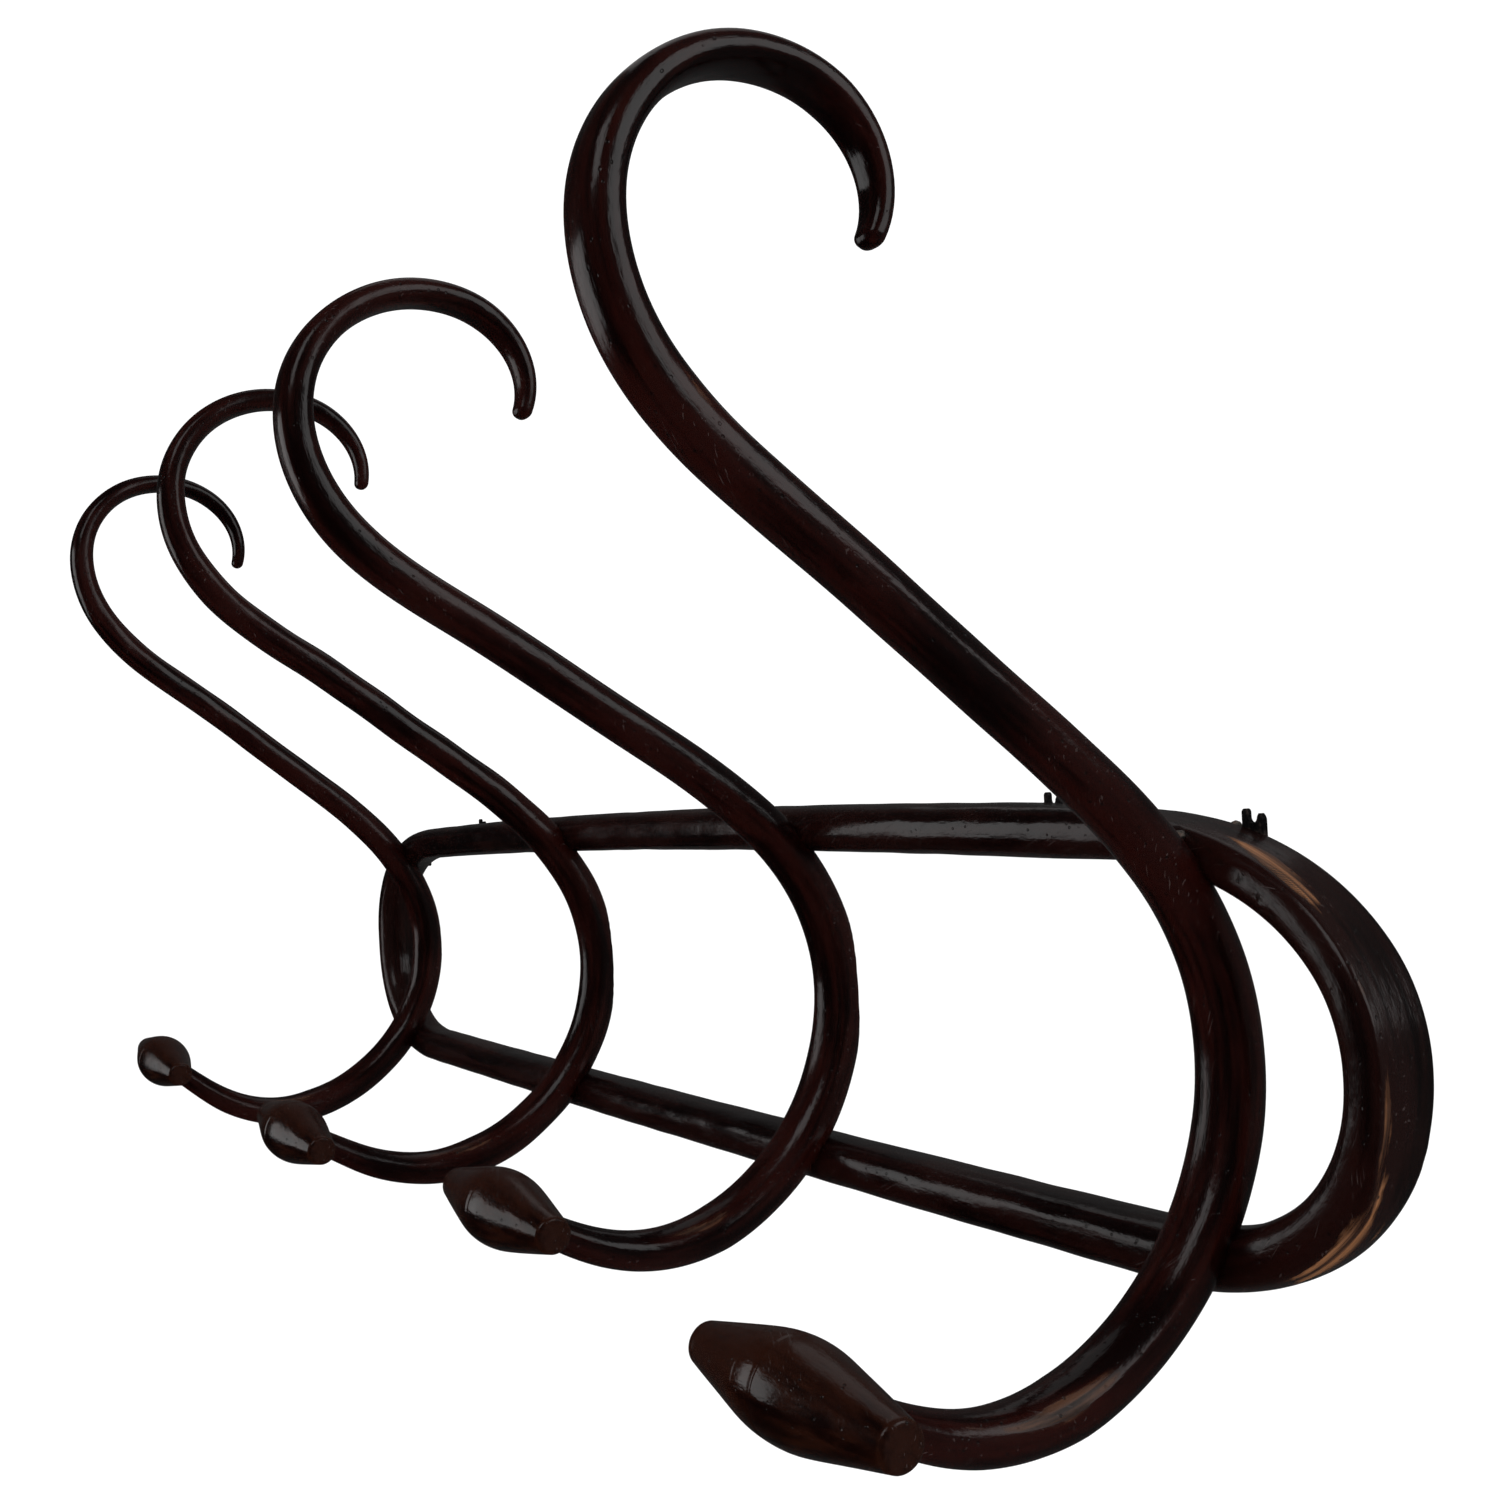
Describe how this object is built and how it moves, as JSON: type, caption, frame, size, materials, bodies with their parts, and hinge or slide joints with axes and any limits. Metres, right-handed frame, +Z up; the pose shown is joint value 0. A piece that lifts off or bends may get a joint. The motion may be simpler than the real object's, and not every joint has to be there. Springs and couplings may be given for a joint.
{
  "type": "wall coat rack",
  "caption": "Bentwood wall coat rack: S-shaped hooks with turned spindle knobs, screwed across a long oval ring that hangs flat on the wall.",
  "frame": {"origin": "on the flat back of the ring, at the middle of its top rail, where the rack rests against the wall", "axes": "+X along the rack towards the end with hook 1, +Y into the wall, +Z up"},
  "size_m": [1.086, 0.2866, 0.5198],
  "materials": {
    "ring_wood": "worn dark brown-black lacquer over bent beech, satin gloss with pits, scratches and rubbed edges",
    "hook_wood": "worn dark red-brown lacquer over bent beech, satin gloss with rubbed patches",
    "knob_wood": "worn dark lacquer over turned beech, thinner on the ends",
    "iron": "blackened forged plate, lightly rusted",
    "steel": "old dull countersunk screws"
  },
  "bodies": {
    "root": {"ring_1": "ring_wood", "ring_2": "ring_wood", "ring_3": "ring_wood", "ring_4": "ring_wood", "ring_5": "ring_wood", "ring_6": "ring_wood", "ring_7": "ring_wood", "ring_8": "ring_wood", "ring_9": "ring_wood", "hook_1": "hook_wood", "hook_2": "hook_wood", "hook_3": "hook_wood", "hook_4": "hook_wood", "knob_1": "knob_wood", "knob_2": "knob_wood", "knob_3": "knob_wood", "knob_4": "knob_wood", "hook_screw_1_upper": "steel", "hook_screw_1_lower": "steel", "hook_screw_2_upper": "steel", "hook_screw_2_lower": "steel", "hook_screw_3_upper": "steel", "hook_screw_3_lower": "steel", "hook_screw_4_upper": "steel", "hook_screw_4_lower": "steel", "hanger_plate_1": "iron", "hanger_plate_2": "iron", "hanger_plate_3": "iron", "hanger_plate_4": "iron", "plate_screw_1": "steel", "plate_screw_2": "steel", "plate_screw_3": "steel", "plate_screw_4": "steel"}
  },
  "joints": []
}
